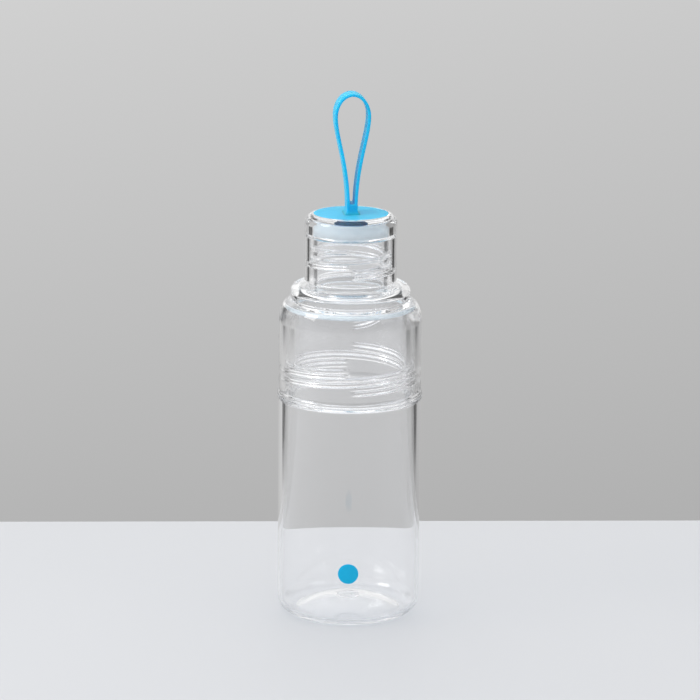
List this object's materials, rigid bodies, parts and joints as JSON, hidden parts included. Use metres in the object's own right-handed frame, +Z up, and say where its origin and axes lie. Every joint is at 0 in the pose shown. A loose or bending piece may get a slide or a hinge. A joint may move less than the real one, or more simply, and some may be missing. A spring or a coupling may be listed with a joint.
{
  "type": "water bottle",
  "caption": "Clear cylindrical water bottle in two screw-together halves, with a clear screw cap and a blue silicone strap loop standing on the cap.",
  "frame": {"origin": "middle of the foot ring, on the surface that the bottle stands on", "axes": "+Z up along the bottle's axis; the printed dot faces -Y; the strap's ribbon is turned 6.4 degrees anticlockwise from +Y seen from above"},
  "size_m": [0.071, 0.071, 0.2592],
  "materials": {
    "clear_plastic": "clear, polished copolyester",
    "milky_silicone": "translucent milky silicone",
    "blue_silicone": "satin sky-blue silicone",
    "blue_ink": "screen-printed ink"
  },
  "bodies": {
    "lower": {"lower_body": "clear_plastic", "printed_dot": "blue_ink"},
    "joint_seal": {"body_seal": "milky_silicone"},
    "upper": {"upper_body": "clear_plastic"},
    "liner": {"cap_liner": "milky_silicone"},
    "cap": {"cap_shell": "clear_plastic", "strap_disc": "blue_silicone"},
    "loop": {"strap_loop": "blue_silicone"}
  },
  "joints": [
    {"name": "body_lift", "type": "slide", "parent": "lower", "child": "joint_seal", "axis": [0, 0, 1], "range_m": [0, 0.0136]},
    {"name": "body_turn", "type": "hinge", "parent": "joint_seal", "child": "upper", "pos_m": [0, 0, 0.13], "axis": [0, 0, 1], "range_deg": [0, 540]},
    {"name": "cap_lift", "type": "slide", "parent": "upper", "child": "liner", "axis": [0, 0, 1], "range_m": [0, 0.0146]},
    {"name": "cap_turn", "type": "hinge", "parent": "liner", "child": "cap", "pos_m": [0, 0, 0.185], "axis": [0, 0, 1], "range_deg": [0, 1044]},
    {"name": "strap_bend", "type": "hinge", "parent": "cap", "child": "loop", "pos_m": [0, 0, 0.2042], "axis": [-0.1115, 0.9938, 0], "range_deg": [-80, 80], "stiffness_Nm_per_rad": 0.01}
  ],
  "couplings": [
    {"joint": "body_lift", "follows": "body_turn", "m_per_rad": 0.0014324},
    {"joint": "cap_lift", "follows": "cap_turn", "m_per_rad": 0.00079577}
  ]
}
